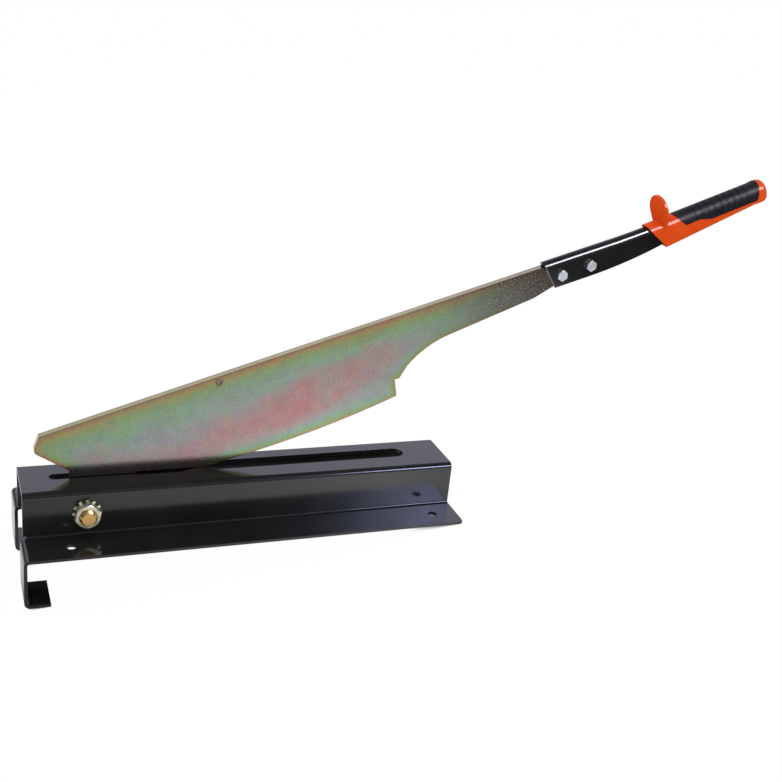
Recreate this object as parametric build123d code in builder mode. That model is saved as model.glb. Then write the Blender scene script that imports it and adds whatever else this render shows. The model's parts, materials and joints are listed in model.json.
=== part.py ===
from build123d import *
from math import cos, radians, sin, sqrt, tan
import os

# Slate cutter: a lever blade that swings down through a slot in a folded steel base.
# Millimetres. X runs along the base from its pivot end, Y to the rear and Z up.
# The origin is the middle of the four fixing holes, on the underside of the flanges.
# The blade and its handle are drawn part open, as the tool stands when it is not cutting.

# Base, one folded sheet of hat-shaped section
sheet = 3.0
bend_inside = 2.0
hat_width = 59.0
hat_height = 45.0
flange_width = 39.3
flange_corner = 3.0

# Fixing holes in the flanges
hole_diameter = 8.0
hole_from_left = 38.5
hole_from_right = 24.5
hole_from_edge = 18.8

# Hooks bent down and back under the flanges, which take the edge of a board
board_gap = 40.0
hook_overhang = 2.4
foot_length = 22.0

# Slot in the top of the base: a narrow guide by the pivot, then the wide cutting slot
guide_before_pivot = 29.0
guide_past_pivot = 42.0
guide_clearance = 1.2
slot_front_clearance = 3.6
slot_rear_clearance = 6.4
heel_clearance = 1.4
slot_to_right_end = 40.1

# Pivot bolt and what is on it
pivot_from_left = 54.0
pivot_below_top = 21.5
pivot_diameter = 14.0
pivot_running_clearance = 0.05
pivot_hole_clearance = 0.25
pivot_bolt_proud = 4.0
pivot_across_flats = 21.0
pivot_head_height = 8.8
pivot_tip_chamfer = 1.5
pivot_nut_height = 8.2
pivot_nut_turn = 18.0
nut_countersink = 0.7
thread_clearance = 0.05
tooth_washer_rim = 2.95
tooth_length = 2.4
tooth_width = 2.6
tooth_count = 12
tooth_washer_thickness = 1.2
head_washer_diameter = 28.0
head_washer_thickness = 2.5
spacer_diameter = 22.0
thrust_washer_diameter = 28.0
thrust_washer_thickness = 2.0
blade_side_clearance = 0.1

# Blade. Its own x runs along its straight back and its own y is square to that, from the pivot.
blade_thickness = 8.0
blade_offset = 1.5
rest_angle = 17.65
closed_angle = 2.3
back_height = 70.5
nose_setback = 16.7
nose_reach = 26.0
nose_depth = 12.2
nose_round = 5.0
stop_edge_reach = 2.7
stop_edge_rise = 9.0
neck_lean = 17.65
boss_radius = 20.0
boss_blend = 12.0
cutting_radius = 990.0
belly_reach = 194.0
belly_depth = 13.8
heel_reach = 304.5
heel_lean = 1.6
ledge_length = 4.7
throat_step_run = 10.0
throat_step_rise = 9.7
throat_run = 46.8
tang_depth = 34.9
tang_run = 91.0
tang_neck_depth = 27.5
hanging_hole_diameter = 4.0
hanging_hole_reach = 144.9
hanging_hole_depth = 5.5

# Handle channel, folded round over the tang and open below
channel_wall = 2.5
channel_from_neck = 22.9
channel_end_lean = 15.5
crown_rise = 4.2
channel_depth = 27.5
channel_level_run = 36.0
channel_taper_run = 85.0
channel_bend_from_end = 71.0
channel_bend_radius = 700.0
channel_bend = 2.0
tang_in_channel = 66.0
tang_edge_margin = 1.3
tang_shoulder_clearance = 0.3

# Handle bolts
handle_bolt_diameter = 6.0
handle_bolt_clearance = 0.2
handle_bolt_from_end = 8.3
handle_bolt_pitch = 31.6
handle_bolt_depth = 12.0
handle_across_flats = 10.0
handle_head_height = 4.0
handle_nut_height = 5.0
handle_washer_diameter = 12.0
handle_washer_thickness = 1.6
handle_bolt_proud = 1.5

# Grip. Its heights are taken from the line of the blade's back.
grip_from_channel_end = 106.0
grip_length = 136.0
grip_front_width = 20.0
grip_front_bottom = -23.3
grip_front_top = 7.4
grip_end_width = 21.7
grip_end_bottom = -5.3
grip_end_top = 14.6
pommel_length = 8.0
pommel_flare = 7.0
pommel_swell = 0.7
grip_bottom_round = 6.0
grip_end_round = 5.0
collar_lip_reach = 5.0
collar_lip_depth = 9.0
collar_foot_reach = 21.5
channel_fit = 0.15
grip_floor = 5.3
grip_end_wall = 21.8
guard_from_front = 16.2
guard_thickness = 4.0
guard_radius = 15.0
guard_height = 32.6
guard_edge_chamfer = 1.0

# Soft pad let into the top of the grip
pad_recess = 1.1
pad_proud = 0.5
pad_front_reach = 40.5
pad_front_lean = 37.7
pad_front_corner = -2.8
pad_wave_reach = 56.0
pad_wave_top = -1.4
pad_dip_reach = 70.0
pad_dip = -4.8
pad_to_end = 12.8
pad_rear_corner = -1.7
pad_rear_lean = 16.0
pad_corner_round = 2.5
pad_wave_round = 10.0
pad_rib_pitch = 7.5
pad_rib_reach = 51.0
pad_rib_margin = 4.0
pad_groove_width = 1.6
pad_groove_depth = 0.5

# How far a cut runs past what it cuts
cut_margin = 3.0

# Places in the base
base_length = pivot_from_left + heel_reach + heel_clearance + slot_to_right_end
hole_spacing = base_length - hole_from_left - hole_from_right
base_left = -hole_spacing / 2 - hole_from_left
half_hat = hat_width / 2
half_base = half_hat + flange_width
hole_row_spacing = 2 * (half_base - hole_from_edge)
inner_wall = half_hat - sheet
bend_middle = bend_inside + sheet / 2
bend_outside = bend_inside + sheet
sheet_middle = sheet / 2
pivot_x = base_left + pivot_from_left
pivot_height = hat_height - pivot_below_top
guide_width = blade_thickness + 2 * guide_clearance
slot_width = blade_thickness + slot_front_clearance + slot_rear_clearance
slot_middle = blade_offset + (slot_rear_clearance - slot_front_clearance) / 2
slot_end = pivot_x + heel_reach + heel_clearance

# Places along the blade and its handle, in the blade's own frame
closed = radians(closed_angle)
ledge_start = (pivot_below_top - heel_reach * sin(closed)) / cos(closed)
ledge_end_x = heel_reach + ledge_length
ledge_end = (pivot_below_top - ledge_end_x * sin(closed)) / cos(closed)
step_x = ledge_end_x + throat_step_run
throat_x = step_x + throat_run
neck_x = throat_x + tang_run
channel_x = neck_x + channel_from_neck
channel_width = blade_thickness + 2 * channel_wall
crown = back_height + crown_rise
crown_centre = crown - channel_width / 2
channel_bottom = crown - channel_depth
channel_lean = tan(radians(channel_end_lean))
shoulder_x = channel_x - (back_height - channel_bottom) * channel_lean - tang_shoulder_clearance
tang_top = crown_centre - tang_shoulder_clearance
tang_bottom = channel_bottom + tang_edge_margin
tang_end_x = channel_x + tang_in_channel
bolt_y = back_height - handle_bolt_depth
bolt_places = [channel_x + handle_bolt_from_end + handle_bolt_pitch * turn for turn in range(2)]
grip_x = channel_x + grip_from_channel_end
grip_end_x = grip_x + grip_length
pommel_x = grip_end_x - pommel_length
flare_x = pommel_x - pommel_flare

# Planes: one faces the front on the pivot axis, one holds the blade's own frame at its mid thickness
blade_plane = Plane(
    origin=(pivot_x, blade_offset, pivot_height),
    x_dir=(cos(radians(rest_angle)), 0, sin(radians(rest_angle))),
    z_dir=(0, -1, 0),
)
blade_axis = Axis(blade_plane.origin, blade_plane.x_dir)


def pivot_plane(y):
    """Plane across the pivot axis at depth y, facing the front."""
    return Plane(origin=(pivot_x, y, pivot_height), x_dir=(1, 0, 0), z_dir=(0, -1, 0))


def handle_plane(x, z):
    """Plane across a handle bolt at x along the blade, z in front of the blade's middle."""
    origin = blade_plane.from_local_coords((x, bolt_y, z))
    return Plane(origin=origin, x_dir=blade_plane.x_dir, z_dir=blade_plane.z_dir)


def station_plane(x):
    """Plane square to the blade's back at x, with its own y up and x to the rear."""
    origin = blade_plane.from_local_coords((x, 0, 0))
    return Plane(origin=origin, x_dir=-blade_plane.z_dir, z_dir=blade_plane.x_dir)


def chamfered_hex(plane, across_flats, height, turn=0):
    """Hexagon standing on a plane, its outer corners taken off by a shallow cone."""
    face_radius = 0.475 * across_flats
    with BuildPart() as hexagon:
        with BuildSketch(plane):
            RegularPolygon(across_flats / 2, 6, major_radius=False, rotation=turn)
        extrude(amount=height)
        with Locations(plane):
            Cone(
                bottom_radius=face_radius + height * sqrt(3),
                top_radius=face_radius,
                height=height,
                align=(Align.CENTER, Align.CENTER, Align.MIN),
                mode=Mode.INTERSECT,
            )
    return hexagon.part


def washer_sketch(plane, outer_diameter, inner_diameter):
    """Flat ring on a plane."""
    with BuildSketch(plane) as ring:
        Circle(outer_diameter / 2)
        Circle(inner_diameter / 2, mode=Mode.SUBTRACT)
    return ring.sketch


# Base channel with its hooks, slot and holes
with BuildPart() as base_channel:
    with BuildSketch(Plane.YZ.offset(base_left)):
        with BuildLine():
            FilletPolyline(
                (-half_base, sheet_middle),
                (-half_hat + sheet_middle, sheet_middle),
                (-half_hat + sheet_middle, hat_height - sheet_middle),
                (half_hat - sheet_middle, hat_height - sheet_middle),
                (half_hat - sheet_middle, sheet_middle),
                (half_base, sheet_middle),
                radius=bend_middle,
            )
        trace(line_width=sheet)
    extrude(amount=base_length)
    flange_ends = edges().filter_by(Axis.Z).group_by(Axis.X)[-1].sort_by(Axis.Y)
    fillet([flange_ends[0], flange_ends[-1]], radius=flange_corner)

    # The flanges, and the bends at their roots, stop where the hooks' bends begin
    hook_left = base_left - hook_overhang
    bend_start = hook_left + bend_outside
    with BuildSketch(Plane.XY):
        with Locations((base_left, 0)):
            Rectangle(bend_start - base_left, 2 * half_base, align=(Align.MIN, Align.CENTER))
    extrude(amount=bend_outside, mode=Mode.SUBTRACT)

    leg_middle = hook_left + sheet_middle
    foot_middle = -board_gap - sheet_middle
    with BuildSketch(Plane.XZ.offset(half_hat)):
        with BuildLine():
            FilletPolyline(
                (bend_start + sheet, sheet_middle),
                (leg_middle, sheet_middle),
                (leg_middle, foot_middle),
                (hook_left + foot_length, foot_middle),
                radius=bend_middle,
            )
        trace(line_width=sheet)
    front_hook = extrude(amount=flange_width)
    mirror(front_hook, about=Plane.XZ)

    guide_start = pivot_x - guide_before_pivot
    guide_end = pivot_x + guide_past_pivot
    with BuildSketch(Plane.XY.offset(hat_height)):
        with Locations(((guide_start + guide_end + slot_width) / 2, blade_offset)):
            SlotOverall(guide_end + slot_width - guide_start, guide_width)
        with Locations(((guide_end + slot_end) / 2, slot_middle)):
            SlotOverall(slot_end - guide_end, slot_width)
    extrude(amount=-sheet - bend_inside, mode=Mode.SUBTRACT)

    with BuildSketch(pivot_plane(0)):
        Circle(pivot_diameter / 2 + pivot_hole_clearance)
    extrude(amount=half_hat, both=True, mode=Mode.SUBTRACT)

    with Locations((0, 0, sheet)):
        with GridLocations(hole_spacing, hole_row_spacing, 2, 2):
            Hole(hole_diameter / 2, depth=sheet)

# Pivot bolt, its head on the rear wall and its end through the front one
head_face = half_hat + head_washer_thickness
nut_face = -half_hat - tooth_washer_thickness
bolt_end = nut_face - pivot_nut_height - pivot_bolt_proud
washer_bore = pivot_diameter + 2 * pivot_hole_clearance
head_plane = Plane(pivot_plane(head_face).origin, x_dir=(1, 0, 0), z_dir=(0, 1, 0))
with BuildPart() as pivot_bolt:
    add(chamfered_hex(head_plane, pivot_across_flats, pivot_head_height))
    with BuildSketch(pivot_plane(head_face)):
        Circle(pivot_diameter / 2)
    extrude(amount=head_face - bolt_end)
    bolt_tip = faces().sort_by(Axis.Y)[0]
    chamfer(bolt_tip.edges(), pivot_tip_chamfer)

with BuildPart() as pivot_head_washer:
    ring = washer_sketch(pivot_plane(head_face), head_washer_diameter, washer_bore)
    extrude(ring, amount=head_washer_thickness)

# Toothed washer and nut on the front wall
with BuildPart() as pivot_tooth_washer:
    with BuildSketch(pivot_plane(-half_hat)):
        Circle(washer_bore / 2 + tooth_washer_rim)
        with PolarLocations(washer_bore / 2, tooth_count):
            Rectangle(tooth_washer_rim + tooth_length, tooth_width, align=(Align.MIN, Align.CENTER))
        Circle(washer_bore / 2, mode=Mode.SUBTRACT)
    extrude(amount=tooth_washer_thickness)

thread_radius = pivot_diameter / 2 + thread_clearance
with BuildPart() as pivot_nut:
    add(chamfered_hex(pivot_plane(nut_face), pivot_across_flats, pivot_nut_height, pivot_nut_turn))
    with Locations(pivot_plane(nut_face - pivot_nut_height)):
        CounterSinkHole(thread_radius, thread_radius + nut_countersink, counter_sink_angle=90)

# Spacer tubes and thrust washers, which hold the blade in line with the slot
blade_front = blade_offset - blade_thickness / 2 - blade_side_clearance
blade_rear = blade_offset + blade_thickness / 2 + blade_side_clearance
front_seat = blade_front - thrust_washer_thickness
rear_seat = blade_rear + thrust_washer_thickness

with BuildPart() as thrust_washer_front:
    ring = washer_sketch(pivot_plane(blade_front), thrust_washer_diameter, washer_bore)
    extrude(ring, amount=thrust_washer_thickness)

with BuildPart() as thrust_washer_rear:
    ring = washer_sketch(pivot_plane(rear_seat), thrust_washer_diameter, washer_bore)
    extrude(ring, amount=thrust_washer_thickness)

with BuildPart() as pivot_spacer_front:
    ring = washer_sketch(pivot_plane(front_seat), spacer_diameter, washer_bore)
    extrude(ring, amount=front_seat + inner_wall)

with BuildPart() as pivot_spacer_rear:
    ring = washer_sketch(pivot_plane(inner_wall), spacer_diameter, washer_bore)
    extrude(ring, amount=inner_wall - rear_seat)

# Blade: straight back, blunt nose, edge that stops it when open, boss, belly, heel, ledge and tang
def cutting_edge(x):
    """Height of the cutting edge, one large arc, at x along the blade."""
    return cutting_radius - belly_depth - sqrt(cutting_radius**2 - (x - belly_reach) ** 2)


stop_edge_y = pivot_below_top + stop_edge_rise
neck_foot_x = -stop_edge_reach - stop_edge_y * tan(radians(neck_lean))
heel_bottom_x = heel_reach - heel_lean
heel_bottom = cutting_edge(heel_bottom_x)
edge_start_x = boss_radius / 2
edge_start = cutting_edge(edge_start_x)
edge_middle_x = (edge_start_x + heel_bottom_x) / 2
edge_middle = cutting_edge(edge_middle_x)
tang_throat_y = back_height - tang_depth
tang_neck_y = back_height - tang_neck_depth
with BuildPart() as blade:
    with BuildSketch(blade_plane):
        with BuildLine():
            Line((shoulder_x, back_height), (-nose_setback, back_height))
            Line((-nose_setback, back_height), (-nose_reach, back_height - nose_depth))
            Line((-nose_reach, back_height - nose_depth), (-stop_edge_reach, stop_edge_y))
            Line((-stop_edge_reach, stop_edge_y), (neck_foot_x, 0))
            Line((neck_foot_x, 0), (edge_start_x, edge_start))
            ThreePointArc(
                (edge_start_x, edge_start),
                (edge_middle_x, edge_middle),
                (heel_bottom_x, heel_bottom),
            )
            Line((heel_bottom_x, heel_bottom), (heel_reach, ledge_start))
            Line((heel_reach, ledge_start), (ledge_end_x, ledge_end))
            Line((ledge_end_x, ledge_end), (step_x, ledge_end + throat_step_rise))
            TangentArc(
                (throat_x, tang_throat_y),
                (step_x, ledge_end + throat_step_rise),
                tangent=(throat_x - neck_x, tang_throat_y - tang_neck_y),
            )
            Line((throat_x, tang_throat_y), (neck_x, tang_neck_y))
            Line((neck_x, tang_neck_y), (channel_x, tang_bottom))
            Line((channel_x, tang_bottom), (tang_end_x, tang_bottom))
            Line((tang_end_x, tang_bottom), (tang_end_x, tang_top))
            Line((tang_end_x, tang_top), (shoulder_x, tang_top))
            Line((shoulder_x, tang_top), (shoulder_x, back_height))
        make_face()
        Circle(boss_radius)
    extrude(amount=blade_thickness / 2, both=True)
    across = edges().filter_by(Axis.Y)
    nose_point = blade_plane.from_local_coords((-nose_reach, back_height - nose_depth, 0))
    fillet(across.sort_by_distance(nose_point)[0], radius=nose_round)
    across = edges().filter_by(Axis.Y)
    boss_corner = blade_plane.from_local_coords((boss_radius, cutting_edge(boss_radius), 0))
    fillet(across.sort_by_distance(boss_corner)[0], radius=boss_blend)
    with BuildSketch(blade_plane):
        Circle(pivot_diameter / 2 + pivot_running_clearance)
        with Locations((hanging_hole_reach, back_height - hanging_hole_depth)):
            Circle(hanging_hole_diameter / 2)
        with Locations(*((x, bolt_y) for x in bolt_places)):
            Circle(handle_bolt_diameter / 2 + handle_bolt_clearance)
    extrude(amount=blade_thickness, both=True, mode=Mode.SUBTRACT)

# Handle channel: a section with a round crown follows the crown line, then its lower edges are cut to shape
channel_start_x = channel_x - channel_depth * channel_lean
channel_bend_x = channel_x + channel_bend_from_end
channel_stop_x = grip_end_x - grip_end_wall
taper_x = channel_x + channel_level_run
taper_end_x = taper_x + channel_taper_run
grip_fall = (grip_end_bottom - grip_front_bottom) / grip_length
taper_end = back_height + grip_front_bottom + (taper_end_x - grip_x) * grip_fall + grip_floor


def channel_section(grow, hollow):
    """Section of the channel, with its crown up; grow adds a clearance all round."""
    with BuildSketch(station_plane(channel_start_x)) as profile:
        with Locations((0, crown_centre)):
            Circle(channel_width / 2 + grow)
            Rectangle(channel_width + 2 * grow, 2 * channel_depth, align=(Align.CENTER, Align.MAX))
            if hollow:
                Circle(blade_thickness / 2, mode=Mode.SUBTRACT)
                Rectangle(
                    blade_thickness,
                    2 * channel_depth,
                    align=(Align.CENTER, Align.MAX),
                    mode=Mode.SUBTRACT,
                )
    return profile.sketch


def channel_side(grow):
    """Side view of the channel: slanted end, level lower edge, then the taper into the grip."""
    stop_x = channel_stop_x + grow
    stop_bottom = taper_end + (stop_x - taper_end_x) * grip_fall - grow
    top = crown + channel_depth
    with BuildSketch(blade_plane) as side:
        with BuildLine():
            Line((channel_x, channel_bottom - grow), (taper_x, channel_bottom - grow))
            TangentArc(
                (taper_x, channel_bottom - grow),
                (taper_end_x, taper_end - grow),
                tangent=(1, 0),
            )
            Line((taper_end_x, taper_end - grow), (stop_x, stop_bottom))
            Line((stop_x, stop_bottom), (stop_x, top))
            Line((stop_x, top), (channel_x - (top - channel_bottom) * channel_lean, top))
            Line(
                (channel_x - (top - channel_bottom) * channel_lean, top),
                (channel_x, channel_bottom - grow),
            )
        make_face()
    return side.sketch


with BuildLine(blade_plane) as crown_line:
    level = Line((channel_start_x, crown_centre), (channel_bend_x, crown_centre))
    bend = JernArc((channel_bend_x, crown_centre), (1, 0), channel_bend_radius, channel_bend)
    PolarLine(bend @ 1, channel_stop_x - channel_bend_x, direction=bend % 1)

with BuildPart() as handle_channel:
    sweep(channel_section(0, True), path=crown_line.line)
    extrude(channel_side(0), amount=channel_width, both=True, mode=Mode.INTERSECT)
    with BuildSketch(blade_plane):
        with Locations(*((x, bolt_y) for x in bolt_places)):
            Circle(handle_bolt_diameter / 2 + handle_bolt_clearance)
    extrude(amount=channel_width, both=True, mode=Mode.SUBTRACT)

with BuildPart() as channel_room:
    sweep(channel_section(channel_fit, False), path=crown_line.line)
    extrude(channel_side(channel_fit), amount=channel_width, both=True, mode=Mode.INTERSECT)

# Handle bolts from the front, with washers and nuts on the rear
handle_front = channel_width / 2
handle_bolt_reach = channel_width + handle_washer_thickness + handle_nut_height + handle_bolt_proud
handle_pieces = {}
for place, bolt_x in zip(("inner", "outer"), bolt_places):
    bolt_seat = handle_plane(bolt_x, handle_front)
    with BuildPart() as handle_bolt:
        add(chamfered_hex(bolt_seat, handle_across_flats, handle_head_height, 30 - rest_angle))
        with BuildSketch(bolt_seat):
            Circle(handle_bolt_diameter / 2)
        extrude(amount=-handle_bolt_reach)
    handle_pieces[f"handle_bolt_{place}"] = handle_bolt

    washer_face = handle_plane(bolt_x, -handle_front - handle_washer_thickness)
    with BuildPart() as handle_washer:
        ring = washer_sketch(
            washer_face,
            handle_washer_diameter,
            handle_bolt_diameter + 2 * handle_bolt_clearance,
        )
        extrude(ring, amount=handle_washer_thickness)
    handle_pieces[f"handle_washer_{place}"] = handle_washer

    nut_seat = Plane(washer_face.origin, x_dir=washer_face.x_dir, z_dir=-washer_face.z_dir)
    with BuildPart() as handle_nut:
        add(chamfered_hex(nut_seat, handle_across_flats, handle_nut_height))
        with BuildSketch(nut_seat):
            Circle(handle_bolt_diameter / 2 + thread_clearance)
        extrude(amount=handle_nut_height, mode=Mode.SUBTRACT)
    handle_pieces[f"handle_nut_{place}"] = handle_nut


def grip_section(x, grow):
    """Section of the grip at x: round crown, flat sides and rounded lower corners."""
    share = (x - grip_x) / grip_length
    width = grip_front_width + share * (grip_end_width - grip_front_width)
    bottom = grip_front_bottom + share * (grip_end_bottom - grip_front_bottom)
    top = grip_front_top + share * (grip_end_top - grip_front_top)
    half = width / 2 + grow
    low = back_height + bottom - grow
    high = back_height + top + grow
    corner = grip_bottom_round + grow
    with BuildSketch(station_plane(x)) as profile:
        with BuildLine():
            ThreePointArc((-half, high - half), (0, high), (half, high - half))
            Line((half, high - half), (half, low + corner))
            RadiusArc((half, low + corner), (half - corner, low), corner)
            Line((half - corner, low), (corner - half, low))
            RadiusArc((corner - half, low), (-half, low + corner), corner)
            Line((-half, low + corner), (-half, high - half))
        make_face()
    return profile.sketch


def grip_sections(grow):
    """Sections from the collar to the pommel, all grown by the same amount."""
    return [
        grip_section(grip_x, grow),
        grip_section(flare_x, grow),
        grip_section(pommel_x, grow + pommel_swell),
        grip_section(grip_end_x, grow + pommel_swell),
    ]


# Hand guard, a rounded upright plate whose sides run down on to the collar
guard_x = grip_x + guard_from_front
guard_crown = back_height + grip_front_top
with BuildPart() as guard:
    with BuildSketch(station_plane(guard_x)):
        with Locations((0, guard_crown - grip_front_width / 2)):
            Circle(grip_front_width / 2)
        with Locations((0, back_height + guard_height - guard_radius)):
            Circle(guard_radius)
        make_hull()
    extrude(amount=guard_thickness)
    chamfer(edges().filter_by(GeomType.CIRCLE), length=guard_edge_chamfer)

# Seat of the pad: the side view of the pad, outside the body's core
with BuildPart() as grip_core:
    loft(sections=grip_sections(-pad_recess), ruled=True)

pad_front_x = grip_x + pad_front_reach
pad_rear_x = grip_end_x - pad_to_end
pad_top = back_height + grip_end_top + cut_margin
front_lean = tan(radians(pad_front_lean))
rear_lean = tan(radians(pad_rear_lean))
with BuildPart() as pad_seat:
    with BuildSketch(blade_plane):
        with BuildLine():
            FilletPolyline(
                (pad_front_x - (pad_top - back_height - pad_front_corner) * front_lean, pad_top),
                (pad_front_x, back_height + pad_front_corner),
                (grip_x + pad_wave_reach, back_height + pad_wave_top),
                (grip_x + pad_dip_reach, back_height + pad_dip),
                (pad_rear_x, back_height + pad_rear_corner),
                (pad_rear_x + (pad_top - back_height - pad_rear_corner) * rear_lean, pad_top),
                radius=[pad_corner_round, pad_wave_round, pad_wave_round, pad_corner_round],
            )
            Line(
                (pad_rear_x + (pad_top - back_height - pad_rear_corner) * rear_lean, pad_top),
                (pad_front_x - (pad_top - back_height - pad_front_corner) * front_lean, pad_top),
            )
        make_face()
    extrude(amount=grip_end_width, both=True)
    add(grip_core.part, mode=Mode.SUBTRACT)

# Grip body: collar with a slanted mouth, guard, room for the channel and the seat of the pad
with BuildPart() as grip_body:
    loft(sections=grip_sections(0), ruled=True)
    fillet(faces().sort_by(blade_axis)[-1].edges(), radius=grip_end_round)
    add(pad_seat.part, mode=Mode.SUBTRACT)
    add(guard.part)
    with BuildSketch(blade_plane):
        with BuildLine():
            Polyline(
                (grip_x, back_height + guard_height),
                (grip_x, back_height + grip_front_top),
                (grip_x + collar_lip_reach, back_height + grip_front_top - collar_lip_depth),
                (grip_x + collar_foot_reach, back_height + grip_front_bottom),
                (grip_x + collar_foot_reach, back_height + grip_front_bottom - cut_margin),
                (grip_x - cut_margin, back_height + grip_front_bottom - cut_margin),
                (grip_x - cut_margin, back_height + guard_height),
                close=True,
            )
        make_face()
    extrude(amount=grip_front_width, both=True, mode=Mode.SUBTRACT)
    add(channel_room.part, mode=Mode.SUBTRACT)

# Pad with plain cross ribs in the palm
first_groove_x = grip_x + pad_rib_reach
groove_count = int((pad_rear_x - pad_rib_margin - first_groove_x) / pad_rib_pitch)
with BuildPart() as pad_grooves:
    for groove in range(groove_count):
        with BuildSketch(station_plane(first_groove_x + groove * pad_rib_pitch)):
            with Locations((0, back_height + grip_end_top)):
                Rectangle(2 * grip_end_width, 2 * grip_end_width, align=(Align.CENTER, Align.CENTER))
        extrude(amount=pad_groove_width)
    loft(sections=grip_sections(pad_proud - pad_groove_depth), ruled=True, mode=Mode.SUBTRACT)

with BuildPart() as grip_pad:
    loft(sections=grip_sections(pad_proud), ruled=True)
    add(pad_seat.part, mode=Mode.INTERSECT)
    add(guard.part, mode=Mode.SUBTRACT)
    add(pad_grooves.part, mode=Mode.SUBTRACT)

# Name and write every piece
pieces = {
    "base_channel": base_channel,
    "pivot_bolt": pivot_bolt,
    "pivot_head_washer": pivot_head_washer,
    "pivot_tooth_washer": pivot_tooth_washer,
    "pivot_nut": pivot_nut,
    "pivot_spacer_front": pivot_spacer_front,
    "pivot_spacer_rear": pivot_spacer_rear,
    "thrust_washer_front": thrust_washer_front,
    "thrust_washer_rear": thrust_washer_rear,
    "blade": blade,
    "handle_channel": handle_channel,
    **handle_pieces,
    "grip_body": grip_body,
    "grip_pad": grip_pad,
}
os.makedirs("parts", exist_ok=True)
for name, piece in pieces.items():
    piece.part.label = name
    export_step(piece.part, f"parts/{name}.step")
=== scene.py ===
"""Slate cutter: rounded edges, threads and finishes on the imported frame, and the studio it stands in."""

import json
from math import atan2, cos, pi, radians, sin
from typing import NamedTuple

import bmesh
import bpy
import numpy as np
from bpy.props import FloatProperty, FloatVectorProperty, IntProperty, PointerProperty, StringProperty
from mathutils import Matrix, Vector


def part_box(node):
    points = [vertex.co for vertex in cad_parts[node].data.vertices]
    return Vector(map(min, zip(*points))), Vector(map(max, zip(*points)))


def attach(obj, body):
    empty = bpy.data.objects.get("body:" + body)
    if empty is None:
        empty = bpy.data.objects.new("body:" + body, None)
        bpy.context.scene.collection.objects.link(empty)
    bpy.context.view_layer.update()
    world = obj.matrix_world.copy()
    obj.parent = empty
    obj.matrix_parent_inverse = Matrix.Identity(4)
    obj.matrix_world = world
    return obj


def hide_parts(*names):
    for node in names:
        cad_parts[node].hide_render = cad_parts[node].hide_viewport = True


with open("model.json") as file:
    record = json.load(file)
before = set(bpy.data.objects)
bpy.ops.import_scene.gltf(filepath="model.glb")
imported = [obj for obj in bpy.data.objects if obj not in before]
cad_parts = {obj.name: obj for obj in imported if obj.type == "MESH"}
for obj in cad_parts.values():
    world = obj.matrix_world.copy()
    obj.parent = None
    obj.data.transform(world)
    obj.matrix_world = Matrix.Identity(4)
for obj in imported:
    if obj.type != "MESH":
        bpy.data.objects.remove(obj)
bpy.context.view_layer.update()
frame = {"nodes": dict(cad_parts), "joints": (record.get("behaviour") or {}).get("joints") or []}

bl_info = {
    "name": "Slate Cutter Finish",
    "version": (1, 0, 0),
    "blender": (4, 5, 0),
    "location": "View3D > Sidebar > Slate Cutter",
    "description": "Rounds a slate cutter's edges, cuts its threads, finishes it and sets a studio round it",
    "category": "Object",
}

MM = 0.001
# Points closer than this are one point, in metres
WELD = 1e-6
# Faces that meet at less than the first are one face, edges that turn more than the second are rounded, and
# the shading breaks at the third
FLAT_ANGLE = radians(0.2)
SHARP_ANGLE = radians(32)
SHADE_ANGLE = radians(50)
PIVOT = Vector(frame["joints"][0]["pos_m"])


class SlateCutterSizes(bpy.types.PropertyGroup):
    """Edge roundings and small forms that are finer than the solids."""

    paint_edge: FloatProperty(
        name="Painted edge", description="Radius of paint over a sheet edge",
        default=0.45 * MM, unit="LENGTH", precision=5)
    punched_edge: FloatProperty(
        name="Punched edge", description="Radius of paint round the slot",
        default=0.12 * MM, unit="LENGTH", precision=5)
    blade_edge: FloatProperty(
        name="Blade edge", description="Radius left on the cut edges of the blade",
        default=0.18 * MM, unit="LENGTH", precision=5)
    fastener_edge: FloatProperty(
        name="Fastener edge", description="Radius on bolts, nuts and washers",
        default=0.2 * MM, unit="LENGTH", precision=5)
    pad_edge: FloatProperty(
        name="Pad edge", description="Radius moulded on the ribs of the pad",
        default=0.25 * MM, unit="LENGTH", precision=5)
    pivot_thread_pitch: FloatProperty(
        name="Pivot thread pitch", description="Coarse pitch of the pivot bolt",
        default=2.0 * MM, unit="LENGTH", precision=5)
    handle_thread_pitch: FloatProperty(
        name="Handle thread pitch", description="Coarse pitch of the two handle bolts",
        default=1.0 * MM, unit="LENGTH", precision=5)
    film_cell: FloatProperty(
        name="Film cell", description="Spacing of the points that carry the plating's colour",
        default=5.0 * MM, unit="LENGTH", precision=5)
    tooth_count: IntProperty(
        name="Teeth", description="Teeth round the lock washer", default=12)
    tooth_twist: FloatProperty(
        name="Tooth twist", description="Turn of each tooth of the lock washer",
        default=radians(15), subtype="ANGLE")


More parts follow.
